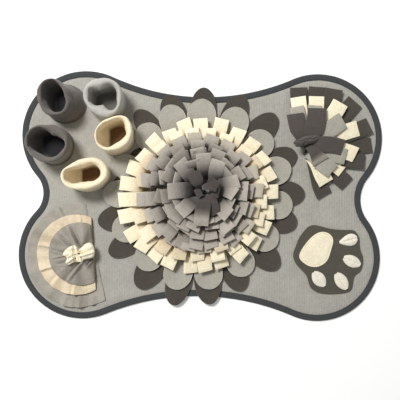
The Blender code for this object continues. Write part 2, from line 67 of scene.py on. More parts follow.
optics = bpy.data.cameras.new("overhead")
optics.lens = optics.sensor_width * CAMERA_HIGH / FRAME_WIDE
camera = into_scene(bpy.data.objects.new("overhead", optics), CAMERA_X, CAMERA_Y, CAMERA_HIGH)
bpy.context.scene.camera = camera
bpy.context.scene.view_settings.view_transform = "Standard"

KEY_X, KEY_Y, KEY_Z = -1000, 1050, 2200
KEY_WIDE, KEY_WATTS = 650, 64
ROOM_LIGHT = 0.33
TABLE_GLOW = 0.1
lamp = bpy.data.lights.new("key_softbox", "AREA")
lamp.size = KEY_WIDE * MM
lamp.energy = KEY_WATTS
box = into_scene(bpy.data.objects.new("key_softbox", lamp), KEY_X, KEY_Y, KEY_Z)
box.rotation_euler = (-box.location).to_track_quat("-Z", "Y").to_euler()

room = bpy.data.worlds.new("white_room")
room.use_nodes = True
room.node_tree.nodes["Background"].inputs["Color"].default_value = (1, 1, 1, 1)
room.node_tree.nodes["Background"].inputs["Strength"].default_value = ROOM_LIGHT
bpy.context.scene.world = room


class Flow:
    """A value in a material's nodes. Arithmetic on it adds the Math nodes that work it out."""

    def __init__(self, finish, socket):
        self.finish = finish
        self.socket = socket

    def __add__(self, other):
        return self.finish.math("ADD", self, other)

    def __sub__(self, other):
        return self.finish.math("SUBTRACT", self, other)

    def __rsub__(self, other):
        return self.finish.math("SUBTRACT", other, self)

    def __mul__(self, other):
        return self.finish.math("MULTIPLY", self, other)

    __radd__ = __add__
    __rmul__ = __mul__


class Finish:
    """A material whose nodes are added one by one: settings first, then values or links."""

    def __init__(self, name, roughness, sheen=0.0):
        self.material = bpy.data.materials.new(name)
        self.material.use_nodes = True
        self.tree = self.material.node_tree
        self.shader = self.tree.nodes["Principled BSDF"]
        self.shader.inputs["Roughness"].default_value = roughness
        self.shader.inputs["Sheen Weight"].default_value = sheen
        self.shader.inputs["Sheen Roughness"].default_value = 0.6
        self.shader.inputs["Specular IOR Level"].default_value = 0.2

    def feed(self, socket, value):
        if isinstance(value, Flow):
            self.tree.links.new(value.socket, socket)
        else:
            socket.default_value = value

    def node(self, kind, settings, sockets, output=0):
        made = self.tree.nodes.new("ShaderNode" + kind)
        for name, value in settings.items():
            setattr(made, name, value)
        for name, value in sockets.items():
            self.feed(made.inputs[name], value)
        return Flow(self, made.outputs[output])

    def math(self, operation, one, other):
        return self.node("Math", {"operation": operation}, {0: one, 1: other})

    def noise(self, place, each, detail=2.0):
        """Soft random spots, each about so many millimetres wide, with a mean near zero."""
        scale = 1 / (each * MM)
        sockets = {"Vector": place, "Scale": scale, "Detail": detail, "Roughness": 0.55}
        return self.node("TexNoise", {}, sockets) - 0.5

    def mixed(self, factor, one, other):
        sockets = {0: factor, 6: one, 7: other}
        return self.node("Mix", {"data_type": "RGBA"}, sockets, 2)

    def shaded(self, colour, share):
        return self.node("VectorMath", {"operation": "SCALE"}, {0: colour, "Scale": share})

    def bump(self, height, high):
        """Relief of this height, in millimetres, on the finished surface."""
        sockets = {"Height": height, "Strength": 1.0, "Distance": high * MM}
        self.feed(self.shader.inputs["Normal"], self.node("Bump", {}, sockets))


white = Finish("white_table", 0.9)
white.feed(white.shader.inputs["Base Color"], (*linear(TABLE_WHITE), 1))
white.feed(white.shader.inputs["Emission Color"], (*linear(TABLE_WHITE), 1))
white.feed(white.shader.inputs["Emission Strength"], TABLE_GLOW)
bm = bmesh.new()
drop = Matrix.Translation((0, 0, -TABLE_DROP * MM))
bmesh.ops.create_grid(bm, x_segments=1, y_segments=1, size=TABLE_WIDE * MM / 2, matrix=drop)
mesh = bpy.data.meshes.new("table_top")
bm.to_mesh(mesh)
bm.free()
mesh.materials.append(white.material)
into_scene(bpy.data.objects.new("table_top", mesh))

# The mat: two layers of grey fleece with thin wadding between them, cut as a bone with four round
# lobes and hollow waists, and pressed flat where the edge tape grips it.
MAT_GREY = (171, 168, 159)
MAT_FLAT = (698, 480)
MAT_THICK = 4.0
GAP = 0.3
MAT_TOP = MAT_THICK + GAP
CLOTH = 2.0
WELD = 0.01
CUT_CORNER = 50
UNDER_TAPE = 12.3
Lobe = namedtuple("Lobe", "x y radius waist")
LOBES = [
    Lobe(226, 111, 123, 428),
    Lobe(-219, 117, 123, 50),
    Lobe(-227, -113, 122, 464),
    Lobe(224, -119, 121, 66),
]
Arc = namedtuple("Arc", "centre radius start sweep side")
MatLine = namedtuple("MatLine", "inset scale height")
MAT_UNDER = [
    MatLine(UNDER_TAPE, 0.0, 0),
    MatLine(UNDER_TAPE, 0.5, 0),
    MatLine(UNDER_TAPE, 1.0, 0),
    MatLine(UNDER_TAPE, 1.0, 1.3),
    MatLine(1.8, 1.0, 1.3),
    MatLine(1.8, 1.0, 2.8),
    MatLine(11.0, 1.0, 2.8),
]
MAT_OVER = [MatLine(12.5, 1.0, 3.1), MatLine(14.5, 1.0, 3.6), MatLine(19.0, 1.0, 3.9)]
MAT_ROWS = 34
MAT_STEPS = 260
MAT_DIP, MAT_DIP_WIDE = 0.5, 55
RIB_EACH = 3.2


def direction(degrees):
    return Vector((math.cos(math.radians(degrees)), math.sin(math.radians(degrees)), 0))


def heading(start, end):
    return math.degrees(math.atan2(end.y - start.y, end.x - start.x))


def waist_centre(one, other):
    """The centre of the circle that touches both lobes from outside the mat."""
    start = Vector((one.x, one.y, 0))
    span = Vector((other.x, other.y, 0)) - start
    near = one.radius + one.waist
    far = other.radius + one.waist
    along = (near**2 - far**2 + span.length_squared) / (2 * span.length)
    out = math.sqrt(near**2 - along**2)
    unit = span.normalized()
    return start + unit * along + Vector((unit.y, -unit.x, 0)) * out


def edge_arcs():
    """The mat's outline, counterclockwise: each lobe's arc and then the hollow arc after it."""
    arcs = []
    for i, lobe in enumerate(LOBES):
        following = LOBES[(i + 1) % len(LOBES)]
        middle = Vector((lobe.x, lobe.y, 0))
        before, after = waist_centre(LOBES[i - 1], lobe), waist_centre(lobe, following)
        start = heading(middle, before)
        arcs.append(Arc(middle, lobe.radius, start, (heading(middle, after) - start) % 360, 1))
        start = heading(after, middle)
        end = heading(after, Vector((following.x, following.y, 0)))
        arcs.append(Arc(after, lobe.waist, start, -((start - end) % 360), -1))
    return arcs


def arc_length(arc):
    return abs(math.radians(arc.sweep)) * arc.radius


EDGE = edge_arcs()
EDGE_LENGTH = sum(arc_length(arc) for arc in EDGE)


def edge_point(share, inset):
    """The point at this share of the way round the mat, moved in from its edge."""
    along = share % 1 * EDGE_LENGTH
    for arc in EDGE:
        if along <= arc_length(arc):
            break
        along -= arc_length(arc)
    angle = arc.start + arc.sweep * along / arc_length(arc)
    return arc.centre + direction(angle) * (arc.radius - inset * arc.side)


def formed(bm, across, along, place, size=(1, 1), tint=0.0):
    """A grid of cloth whose points go where place puts them. Its UV map is in millimetres."""
    uv = bm.loops.layers.uv.verify()
    layer = bm.verts.layers.float.get("tint") or bm.verts.layers.float.new("tint")
    made = bmesh.ops.create_grid(
        bm, x_segments=across, y_segments=along, size=0.5, calc_uvs=True
    )["verts"]
    for face in {face for vert in made for face in vert.link_faces}:
        for loop in face.loops:
            loop[uv].uv = (loop[uv].uv.x * size[0], loop[uv].uv.y * size[1])
    for vert in made:
        u, v = vert.co.x + 0.5, vert.co.y + 0.5
        vert[layer] = tint(u, v) if callable(tint) else tint
        vert.co = place(u, v)


def uneven(point, wide, seed=0):
    """Smooth random unevenness from -1 to 1, in patches of about this width."""
    return noise.noise(Vector(point) / wide + Vector((seed * 7.3, seed * 3.1, seed * 5.7)))


def piece(name, bm, finish, slot, stands_for=(), thick=0.0, lift=0.0, edge=0.4, closed=False):
    """The bmesh as a piece of the mat, its seam closed. A sheet gets its thickness here."""
    bmesh.ops.remove_doubles(bm, verts=bm.verts, dist=WELD)
    if closed:
        bmesh.ops.recalc_face_normals(bm, faces=bm.faces)
    bmesh.ops.scale(bm, vec=(MM, MM, MM), verts=bm.verts)
    mesh = bpy.data.meshes.new(name)
    bm.to_mesh(mesh)
    bm.free()
    mesh.shade_smooth()
    mesh.materials.append(finish.material)
    made = into_scene(bpy.data.objects.new(name, mesh))
    if thick:
        wall = made.modifiers.new("Thickness", "SOLIDIFY")
        wall.thickness = thick * MM
        wall.offset = lift
        cut = made.modifiers.new("Cut edge", "BEVEL")
        cut.width = edge * MM
        cut.segments = 2
        cut.limit_method = "ANGLE"
        cut.angle_limit = math.radians(CUT_CORNER)
    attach(made, "root")
    if stands_for:
        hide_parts(*stands_for)
    return made


def cloth_sheet(made, flat, layers=1):
    wide, long = flat[0] * MM, flat[1] * MM
    area = min(sum(face.area for face in made.data.polygons) / layers, wide * long)


def fleece(name, colour, other=None, rib=0.0):
    """Napped polar fleece: mottled in the piece, pilled on its face, with fine loose fibres."""
    finish = Finish(name, 1.0, 0.25)
    place = finish.node("TexCoord", {}, {}, "Object")
    mottle = finish.noise(place, 28)
    worn = finish.noise(place, 7.5)
    pills = finish.noise(place, 2.4, 3.0)
    fibres = finish.noise(place, 0.7, 4.0)
    base = linear(colour)
    # The tint attribute mixes in the other colour: the cloth's own tone in some pieces, painted
    # shade or a painted highlight in others.
    if other:
        tint = finish.node("Attribute", {"attribute_name": "tint"}, {}, "Fac")
        base = finish.mixed(tint, (*linear(colour), 1), (*linear(other), 1))
    shade = 1.0 + mottle * 0.24 + worn * 0.22 + pills * 0.42 + fibres * 0.3
    relief = worn * 1.5 + pills * 1.2 + fibres * 0.5
    if rib:
        x = finish.node("SeparateXYZ", {}, {"Vector": place}, "X")
        wave = finish.math("SINE", x * (2 * math.pi / (RIB_EACH * MM)) + mottle * 2.0, 0.0)
        shade = shade + wave * rib
        relief = relief + wave * 0.25
    finish.feed(finish.shader.inputs["Base Color"], finish.shaded(base, shade))
    finish.bump(relief, 0.6)
    return finish


mat_lines = MAT_UNDER + MAT_OVER
mat_lines += [MatLine(19.0, 1 - (row + 1) / MAT_ROWS, MAT_THICK) for row in range(MAT_ROWS)]


def mat_place(u, v):
    """Round the mat with u, and with v from under its middle out to the edge and back on top."""
    line = mat_lines[round(v * (len(mat_lines) - 1))]
    point = edge_point(u, line.inset) * line.scale
    dip = 0.0
    if line.height == MAT_THICK:
        dip = MAT_DIP * (0.5 + 0.5 * uneven(point, MAT_DIP_WIDE)) * min(1, (1 - line.scale) * 8)
    point.z = line.height - dip
    return point


bm = bmesh.new()
formed(bm, MAT_STEPS, len(mat_lines) - 1, mat_place)
mat = piece(
    "mat_base_cloth", bm, fleece("mat_grey_fleece", MAT_GREY, rib=0.05), "mat_fleece",
    ["mat_base"], closed=True,
)
cloth_sheet(mat, MAT_FLAT, layers=2)

# The edge: dark grey twill tape folded over the mat's rim and sewn through with one row of
# stitches a little in from its inner edge. It puckers slightly where it turns the tight waists.
TAPE_GREY = (68, 70, 71)
THREAD_GREY = (62, 63, 64)
TAPE_STEPS = 560
TapeLine = namedtuple("TapeLine", "inset height")
TAPE_LINES = [
    TapeLine(0.0, 2.3),
    TapeLine(0.5, 3.6),
    TapeLine(1.8, 4.3),
    TapeLine(4.0, 4.7),
    TapeLine(7.0, 4.7),
    TapeLine(9.6, 4.35),
    TapeLine(11.2, 4.35),
    TapeLine(12.0, 4.0),
    TapeLine(12.0, 3.3),
    TapeLine(6.0, 3.2),
    TapeLine(1.5, 3.1),
    TapeLine(1.5, 1.1),
    TapeLine(6.0, 1.0),
    TapeLine(12.0, 0.9),
    TapeLine(12.0, 0.0),
    TapeLine(6.0, 0.0),
    TapeLine(2.0, 0.0),
    TapeLine(0.5, 0.8),
    TapeLine(0.0, 2.3),
]
TAPE_ROUND = 27
PUCKER, PUCKER_EACH = 0.3, 9
SEAM_INSET, SEAM_HIGH, SEAM_STEPS = 10.2, 4.45, 900
TAPE_STITCH = (3.0, 4.2, 0.55)
TWILL_EACH = 1.3


def tape_place(u, v):
    line = TAPE_LINES[round(v * (len(TAPE_LINES) - 1))]
    point = edge_point(u, line.inset)
    pucker = PUCKER * uneven(point, PUCKER_EACH, 1)
    if line.inset > 1.5 and line.height < 3.2:
        pucker = 0.0
    point = edge_point(u, line.inset + pucker * 0.7)
    point.z = max(0, line.height + pucker * (line.height > 3.4))
    return point


def tape_twill(name, colour):
    """Woven tape: fine diagonal ribs across the UV map, a little worn."""
    finish = Finish(name, 0.85, 0.1)
    uv = finish.node("UVMap", {}, {})
    place = finish.node("TexCoord", {}, {}, "Object")
    x = finish.node("SeparateXYZ", {}, {"Vector": uv}, "X")
    y = finish.node("SeparateXYZ", {}, {"Vector": uv}, "Y")
    ribs = finish.math("SINE", (x + y) * (2 * math.pi / TWILL_EACH), 0.0)
    wear = finish.noise(place, 14)
    fibres = finish.noise(place, 0.8, 3.0)
    shade = 1.0 + ribs * 0.09 + wear * 0.3 + fibres * 0.25
    finish.feed(finish.shader.inputs["Base Color"], finish.shaded(linear(colour), shade))
    finish.bump(ribs * 0.5 + fibres * 0.6, 0.25)
    return finish


def thread(name, colour):
    finish = Finish(name, 0.8, 0.1)
    place = finish.node("TexCoord", {}, {}, "Object")
    shade = 1.0 + finish.noise(place, 0.6) * 0.4
    finish.feed(finish.shader.inputs["Base Color"], finish.shaded(linear(colour), shade))
    return finish


def stitched(bm, points, long, each, thick):
    """Short plump stitches, end to end with a small gap, along a closed line of points."""
    length = sum((point - points[i - 1]).length for i, point in enumerate(points))
    count = round(length / each)
    walked, place = 0.0, 0
    for stitch in range(count):
        target = length * stitch / count
        span = points[(place + 1) % len(points)] - points[place]
        while walked + span.length < target:
            walked += span.length
            place = (place + 1) % len(points)
            span = points[(place + 1) % len(points)] - points[place]
        middle = points[place] + span * ((target - walked) / span.length)
        turned = span.to_track_quat("X", "Z").to_matrix().to_4x4()
        shape = Matrix.Diagonal((long, thick, thick, 1))
        bmesh.ops.create_uvsphere(
            bm, u_segments=6, v_segments=5, radius=0.5,
            matrix=Matrix.Translation(middle) @ turned @ shape,
        )


bm = bmesh.new()
formed(bm, TAPE_STEPS, len(TAPE_LINES) - 1, tape_place, (EDGE_LENGTH, TAPE_ROUND))
twill = tape_twill("dark_grey_twill", TAPE_GREY)
tape = piece("edge_tape", bm, twill, "binding_tape", ["edge_binding"], closed=True)
bm = bmesh.new()
seam = [edge_point(step / SEAM_STEPS, SEAM_INSET) for step in range(SEAM_STEPS)]
stitched(bm, [point + Vector((0, 0, SEAM_HIGH)) for point in seam], *TAPE_STITCH)
tape_seam = piece("edge_tape_stitches", bm, thread("dark_thread", THREAD_GREY), "binding_tape")
cloth_sheet(tape, (EDGE_LENGTH, TAPE_ROUND), 2)

# The petals: tongues of fleece sewn down under the flower, a dark ring and a light ring over it.
# Each is pinched into a shallow valley at its root and lifts a little towards its round tip.
FLOWER_X, FLOWER_Y = 0, 1
DARK = (73, 67, 60)
# Each ring's second colour is a painted highlight along the tongues' cut edges.
DARK_HIGHLIGHT = (112, 104, 95)
LIGHT = (170, 166, 154)
LIGHT_HIGHLIGHT = (212, 208, 196)
PETAL_INNER = 112
PETAL_ROOT = 130
PETAL_REACH = 206
PETAL_SHOULDER = 0.42
PETAL_STRAIGHT, PETAL_NARROW = 0.45, 0.82
PETAL_ACROSS, PETAL_ALONG = 14, 24
DARK_SAG, LIGHT_SAG = 2.4, 3.8
TO_EDGE = 1.7
PETAL_WANDER = 0.6
Petal = namedtuple("Petal", "angle tip wide")
DARK_PETALS = [
    Petal(1, 199, 51),
    Petal(24, 200, 50),
    Petal(47, 211, 52),
    Petal(67, 208, 50),
    Petal(88, 206, 51),
    Petal(108, 202, 50),
    Petal(127, 203, 46),
    Petal(150, 156, 44),
    Petal(172, 168, 44),
    Petal(195, 202, 50),
    Petal(213, 207, 46),
    Petal(236, 213, 54),
    Petal(256, 216, 50),
    Petal(275, 209, 52),
    Petal(294, 199, 50),
    Petal(317, 203, 52),
    Petal(343, 192, 52),
]
LIGHT_PETALS = [
    Petal(18, 181, 54),
    Petal(41, 178, 54),
    Petal(65, 184, 55),
    Petal(89, 184, 55),
    Petal(110, 183, 52),
    Petal(131, 176, 52),
    Petal(159, 178, 48),
    Petal(179, 186, 52),
    Petal(204, 182, 54),
    Petal(230, 181, 54),
    Petal(254, 186, 55),
    Petal(276, 180, 54),
    Petal(301, 177, 54),
    Petal(327, 174, 54),
    Petal(353, 177, 54),
]
PetalRise = namedtuple("PetalRise", "along dark light")
PETAL_RISES = [
    PetalRise(0.0, 0.0, 1.2),
    PetalRise(0.2, 0.4, 2.5),
    PetalRise(0.42, 1.2, 4.6),
    PetalRise(0.65, 2.8, 5.4),
    PetalRise(0.84, 4.6, 6.4),
    PetalRise(1.0, 6.0, 7.4),
]


def between(low, high, share):
    return low + (high - low) * share


def read_off(rows, key, column):
    """The column's value at the key, which is the rows' first column, in straight steps."""
    for low, high in zip(rows, rows[1:]):
        if key <= high[0]:
            break
    share = min(1, max(0, (key - low[0]) / (high[0] - low[0])))
    return between(getattr(low, column), getattr(high, column), share)


def petal_place(petal, ring_sizes, seed):
    """One tongue: straight from its root to its shoulder, then a long half oval to its tip."""
    base, column, sag = ring_sizes
    out = direction(petal.angle)
    across = Vector((-out.y, out.x, 0))
    shoulder = between(PETAL_ROOT, petal.tip, PETAL_SHOULDER)

    def place(u, v):
        side = math.copysign(1 - (1 - abs(2 * u - 1)) ** TO_EDGE, u - 0.5)
        if v < PETAL_STRAIGHT:
            radius = between(PETAL_INNER, shoulder, v / PETAL_STRAIGHT)
            narrow = between(PETAL_NARROW, 1.0, math.sin(v / PETAL_STRAIGHT * math.pi / 2))
            sideways = side * petal.wide / 2 * narrow
        else:
            share = 1 - ((1 - v) / (1 - PETAL_STRAIGHT)) ** TO_EDGE
            radius = shoulder + (petal.tip - shoulder) * share * math.sqrt(1 - side**2 / 2)
            sideways = side * petal.wide / 2 * math.sqrt(1 - share**2 / 2)
        along = (radius - PETAL_ROOT) / (petal.tip - PETAL_ROOT)
        reach = (petal.tip - PETAL_ROOT) / (PETAL_REACH - PETAL_ROOT)
        shown = max(0, min(1, along))
        rise = read_off(PETAL_RISES, shown, column) * reach
        valley = sag * reach * abs(side) ** 1.3 * math.sin(math.pi * min(1, shown + 0.12))
        point = out * radius + across * sideways + Vector((FLOWER_X, FLOWER_Y, 0))
        loose = PETAL_WANDER * shown * uneven(point, 24, seed)
        point += out * uneven(point, 16, seed + 1) * shown * 0.8
        point.z = base + max(0, rise + valley + loose)
        return point

    return place


def painted_edge_highlight(u, v):
    """Full on the cut edge of a tongue and none inside it: a painted highlight, the paler line where
    the cut edge catches the light.
    """
    return 1.0 if min(u, 1 - u, 1 - v) < 0.01 else 0.0


def petals(name, rows, ring_sizes, finish, slot, node):
    bm = bmesh.new()
    for number, petal in enumerate(rows):
        place = petal_place(petal, ring_sizes, number)
        formed(bm, PETAL_ACROSS, PETAL_ALONG, place, tint=painted_edge_highlight)
    made = piece(name, bm, finish, slot, [node], thick=CLOTH, lift=1)
    wide = sum(petal.wide for petal in rows)
    cloth_sheet(made, (wide, PETAL_REACH - PETAL_INNER))
    return made


dark_fleece = fleece("dark_taupe_fleece", DARK, DARK_HIGHLIGHT)
light_fleece = fleece("light_grey_fleece", LIGHT, LIGHT_HIGHLIGHT)
dark_ring = petals(
    "dark_petals", DARK_PETALS, (MAT_TOP, "dark", DARK_SAG), dark_fleece,
    "dark_fleece", "petals_dark",
)
petals(
    "light_petals", LIGHT_PETALS, (MAT_TOP + CLOTH + GAP, "light", LIGHT_SAG), light_fleece,
    "light_fleece", "petals_light",
)

# The flower: nine rings of fringe, each a strip of fleece cut into tongues and sewn down by its
# uncut edge. The tongues stand up from the seam, arch over and lie on the ring outside them.
CREAM = (254, 244, 213)
BEIGE = (219, 205, 177)
GREY = (182, 174, 163)
TAUPE = (74, 67, 63)
HUB_X, HUB_Y = 10, 10
LEAN_IN = 1.0
BAND_WIDE, BAND_HIGH = 3.0, 2.0
STRIP_ACROSS, STRIP_ALONG = 4, 12
STAGGER = 1.1
CROWD = 1.12
SWING = 0.55
FADE_FROM, FADE_FAST = 0.8, 9
FLOWER_SEED = 11
Fringe = namedtuple("Fringe", "node root height lift arch reach wide")
FLOWER_ROWS = [
    Fringe("flower_row_1", 108, 20, 24, 7, 0.4, 27),
    Fringe("flower_row_2", 97, 31, 32, 5, 0.4, 26),
    Fringe("flower_row_3", 87, 39, 34, 3, 0.4, 26),
    Fringe("flower_row_4", 75, 46, 36, -2, 0.5, 26),
    Fringe("flower_row_5", 62, 52, 38, -5, 0.5, 26),
    Fringe("flower_row_6", 51, 57, 40, -6, 0.5, 26),
    Fringe("flower_row_7", 39, 61, 42, -7, 0.5, 26),
    Fringe("flower_row_8", 22, 66, 42, -8, 0.5, 27),
]
# Each tongue by its cut end: where round the flower, how far out, and how far it turns aside.
FLOWER_TONGUES = [
    [(3, 147, 2), (18, 146, 15), (31, 146, 9), (45, 148, 12), (59, 146, 6), (74, 151, 6)]
    + [(90, 145, 7), (103, 147, 9), (116, 137, -2), (131, 146, 3), (145, 139, -4), (158, 148, 2)]
    + [(171, 153, 1), (183, 155, -3), (195, 159, -7), (210, 161, 1), (222, 154, 15), (233, 152, 2)]
    + [(245, 150, 2), (263, 148, 10), (274, 144, 4), (287, 143, -3), (305, 145, 15), (320, 146, 11)]
    + [(334, 145, 8), (347, 143, 16)],
    [(12, 124, 16), (31, 127, 10), (45, 123, 8), (66, 124, 5), (83, 125, 7), (98, 126, 5)]
    + [(113, 124, 11), (131, 124, 3), (148, 127, -12), (167, 124, 16), (184, 133, -1)]
    + [(199, 134, -3), (216, 136, 1), (234, 133, 1), (251, 128, 14), (267, 124, 5), (285, 128, -6)]
    + [(302, 125, 8), (318, 129, 4), (338, 127, 9), (354, 124, 7)],
    [(3, 114, -10), (22, 113, -9), (41, 111, 10), (62, 111, 8), (79, 111, -3), (97, 115, 2)]
    + [(113, 113, 4), (131, 112, 3), (149, 114, 8), (167, 115, 15), (185, 121, -5), (202, 112, -2)]
    + [(219, 112, 0), (237, 110, -3), (256, 108, -1), (273, 110, 3), (290, 112, -2), (307, 113, 5)]
    + [(325, 113, 2), (343, 112, 5)],
    [(1, 94, -10), (25, 95, 10), (50, 96, 1), (73, 93, -8), (95, 98, -4), (119, 102, -5)]
    + [(141, 104, -1), (164, 99, 18), (186, 104, -1), (206, 102, 8), (229, 106, -3), (247, 110, -9)]
    + [(263, 104, -3), (280, 103, 7), (299, 102, 3), (319, 101, -7), (340, 99, -7)],
    [(5, 82, -10), (28, 81, 5), (47, 74, 1), (67, 80, 5), (95, 80, 5), (119, 84, -6)]
    + [(140, 83, 4), (161, 85, 18), (183, 88, -20), (209, 78, -5), (228, 84, 3), (245, 81, -12)]
    + [(262, 86, -3), (280, 88, 3), (302, 88, 6), (322, 84, 4), (340, 86, 6)],
    [(28, 80, 4), (50, 72, -4), (69, 81, -4), (99, 81, 6), (123, 86, 2), (154, 81, -8), (187, 78, 4)]
    + [(207, 76, 6), (223, 77, 10), (240, 79, 8), (253, 72, -6), (283, 70, -8), (304, 85, 8)]
    + [(328, 71, 6), (357, 80, -8)],
    [(38, 58, 5), (80, 58, 0), (112, 60, -4), (158, 60, 6), (203, 60, 0), (240, 58, -8)]
    + [(276, 60, 4), (300, 60, 2), (333, 58, 6)],
]
Loose = namedtuple("Loose", "height roll skew")
FLOWER_LOOSE = Loose(3.6, 8.0, 6.0)
Strip = namedtuple("Strip", "angle tip height wide turned fade", defaults=(0, 0.0))
# The innermost two rings swing round as they rise, so their roots are given as well.
HEART_ROOTS = [20, 35, 88, 145, 180, 210, 325, 365]
HEART_STRIPS = [
    Strip(15, 62, 66, 25),
    Strip(66, 58, 67, 27, 4),
    Strip(94, 66, 65, 27, -2),
    Strip(133, 71, 64, 27, -8),
    Strip(183, 69, 65, 29, 5),
    Strip(221, 64, 66, 27, -5),
    Strip(312, 63, 66, 27, 8),
    Strip(350, 54, 67, 26, -28),
]
CROWN = Fringe("flower_row_9", 9, 71, 66, 8, 0.1, 21)
CROWN_ROOTS = [52, 160, 200, 265, 305, 345, 161]
CROWN_STRIPS = [
    Strip(50, 26, 69, 20),
    Strip(127, 39, 71, 24, -9),
    Strip(204, 20, 69, 16),
    Strip(262, 66, 69, 27, 3, 1.0),
    Strip(291, 49, 62, 22, -4),
    Strip(345, 25, 66, 19),
    Strip(11, 21, 75, 18, -30),
]


def bezier(points, share):
    rest = 1 - share
    weights = (rest**3, 3 * rest**2 * share, 3 * rest * share**2, share**3)
    return sum((point * weight for point, weight in zip(points, weights)), Vector((0, 0)))


def strip_curve(row, strip, height, root):
    """How far out and how high the strip's middle runs, from its seam to its cut end."""
    return [
        Vector((root, MAT_TOP + 1)),
        Vector((root - LEAN_IN, row.lift)),
        Vector((between(root, strip.tip, row.reach), height + row.arch)),
        Vector((strip.tip, height)),
    ]


def strip_place(centre, curve, root_angle, strip, room, roll, skew, cup):
    """One strip along its curve. Seen from above it bends until it points where its end turns."""
    root = direction(root_angle) * curve[0].x
    tip = direction(strip.angle) * strip.tip
    aim = direction(strip.angle + strip.turned)
    elbow = tip - aim * (tip - root).length * SWING

    def place(u, v):
        middle = bezier(curve, v)
        climb = (bezier(curve, min(1, v + 0.02)) - bezier(curve, max(0, v - 0.02))).normalized()
        share = (middle.x - curve[0].x) / (strip.tip - curve[0].x)
        spot = root * (1 - share) ** 2 + elbow * 2 * share * (1 - share) + tip * share**2
        out = ((elbow - root) * (1 - share) + (tip - elbow) * share).normalized()
        run = out * climb.x + Vector((0, 0, climb.y))
        level = Vector((-out.y, out.x, 0))
        across = Matrix.Rotation(math.radians(roll) * v, 3, run) @ level
        side = (u - 0.5) * min(strip.wide, room * max(middle.x, 4))
        bow = cup * ((2 * u - 1) ** 2 - 0.3) * v
        slide = math.tan(math.radians(skew)) * v * side
        point = centre + spot + Vector((0, 0, middle.y))
        return point + across * side + run * slide + run.cross(across) * bow

    return place


def fringe(row, roots, strips, ends, centre, look, loose, seed):
    """The seam's band and its strips. Strips step in and out by turns, so that they overlap."""
    dice = random.Random(seed)
    bm = bmesh.new()
    start, sweep = ends

    def band_place(u, v):
        angle = start + sweep * u
        corner = round(v * 4) % 4
        radius = row.root + (BAND_WIDE / 2 if corner in (1, 2) else -BAND_WIDE / 2)
        height = MAT_TOP + (BAND_HIGH if corner in (2, 3) else 0)
        return centre + direction(angle) * radius + Vector((0, 0, height))

    room = math.radians(sweep / len(strips)) * CROWD
    for number, (root_angle, strip) in enumerate(zip(roots, strips)):
        parity = 1 if number % 2 else -1
        height = strip.height + dice.uniform(0, loose.height) - parity * loose.height / 2
        roll = dice.uniform(-loose.roll, loose.roll)
        skew = dice.uniform(-loose.skew, loose.skew)
        curve = strip_curve(row, strip, height, row.root + parity * STAGGER)
        cup = dice.uniform(-0.8, 1.2)
        place = strip_place(centre, curve, root_angle, strip, room, roll, skew, cup)
        base, fade = dice.choice(look.tints), strip.fade

        # A strip's tone: its random share of the other colour, its fade to the tip, and painted
        # shade that darkens it towards its root.
        def strip_tone_and_painted_shade(u, v):
            faded = fade * min(1, max(0, (v - FADE_FROM) * FADE_FAST))
            return base + faded + look.deep * (1 - v) ** 1.5

        formed(bm, STRIP_ACROSS, STRIP_ALONG, place, tint=strip_tone_and_painted_shade)
    made = piece(
        row.node + "_strips", bm, look.finish, look.slot, [row.node], thick=CLOTH, edge=0.5
    )
    bm = bmesh.new()
    formed(bm, max(12, round(sweep / 4)), 4, band_place)
    bmesh.ops.holes_fill(bm, edges=[edge for edge in bm.edges if edge.is_boundary], sides=4)
    seam = piece(row.node + "_seam", bm, look.finish, look.slot, closed=True)
    wide = sum(strip.wide for strip in strips)
    long = row.lift + max(strip.tip for strip in strips) - row.root
    cloth_sheet(made, (wide, long))
    return made


# The second colours of the cream, beige, grey and hub fleeces are painted shade at the strips'
# roots, and in some strips also the cloth's own random tone.
cream_fleece = fleece("cream_fleece", CREAM, (212, 189, 155))
mixed_fleece = fleece("beige_fleece", BEIGE, GREY)
grey_fleece = fleece("warm_grey_fleece", GREY, (142, 135, 124))
hub_fleece = fleece("hub_grey_fleece", (184, 176, 165), (80, 73, 68))
taupe_fleece = fleece("taupe_fleece", TAUPE, (168, 161, 150))
# A row's look: its fleece, its slot, the random tones its strips take, and deep, how much painted
# shade darkens each strip towards its root.
RowLook = namedtuple("RowLook", "finish slot tints deep", defaults=((0.0,), 0.0))
ROW_LOOKS = [
    RowLook(cream_fleece, "cream_fleece", (0.0, 0.0, 0.1), 1.6),
    RowLook(cream_fleece, "cream_fleece", (0.0, 0.2, 0.6), 1.6),
    RowLook(mixed_fleece, "beige_fleece", (0.1, 0.7, 1.0, 1.0), 0.8),
    RowLook(grey_fleece, "grey_fleece", (0.0, 0.2, 0.5), 1.6),
    RowLook(grey_fleece, "grey_fleece", (0.0, 0.3, 0.6), 1.6),
    RowLook(grey_fleece, "grey_fleece", (0.0, 0.3, 0.6), 1.8),
    RowLook(hub_fleece, "grey_fleece", (0.0, 0.0, 0.2), 2.4),
    RowLook(hub_fleece, "grey_fleece", (0.0, 0.1), 2.6),
]
flower = Vector((FLOWER_X, FLOWER_Y, 0))
for number, (row, tongues, look) in enumerate(zip(FLOWER_ROWS, FLOWER_TONGUES, ROW_LOOKS)):
    drift = number / len(FLOWER_ROWS)
    centre = flower + Vector((HUB_X, HUB_Y, 0)) * drift
    roots = [angle for angle, tip, turned in tongues]
    strips = [Strip(angle, tip, row.height, row.wide, turned) for angle, tip, turned in tongues]
    fringe(row, roots, strips, (0, 360), centre, look, FLOWER_LOOSE, FLOWER_SEED + number)
hub = flower + Vector((HUB_X, HUB_Y, 0))
heart, heart_look, heart_seed = FLOWER_ROWS[-1], ROW_LOOKS[-1], FLOWER_SEED + 7
fringe(heart, HEART_ROOTS, HEART_STRIPS, (0, 360), hub, heart_look, FLOWER_LOOSE, heart_seed)
taupe_look = RowLook(taupe_fleece, "taupe_fleece")
fringe(CROWN, CROWN_ROOTS, CROWN_STRIPS, (0, 360), hub, taupe_look, Loose(0, 5, 4), 5)

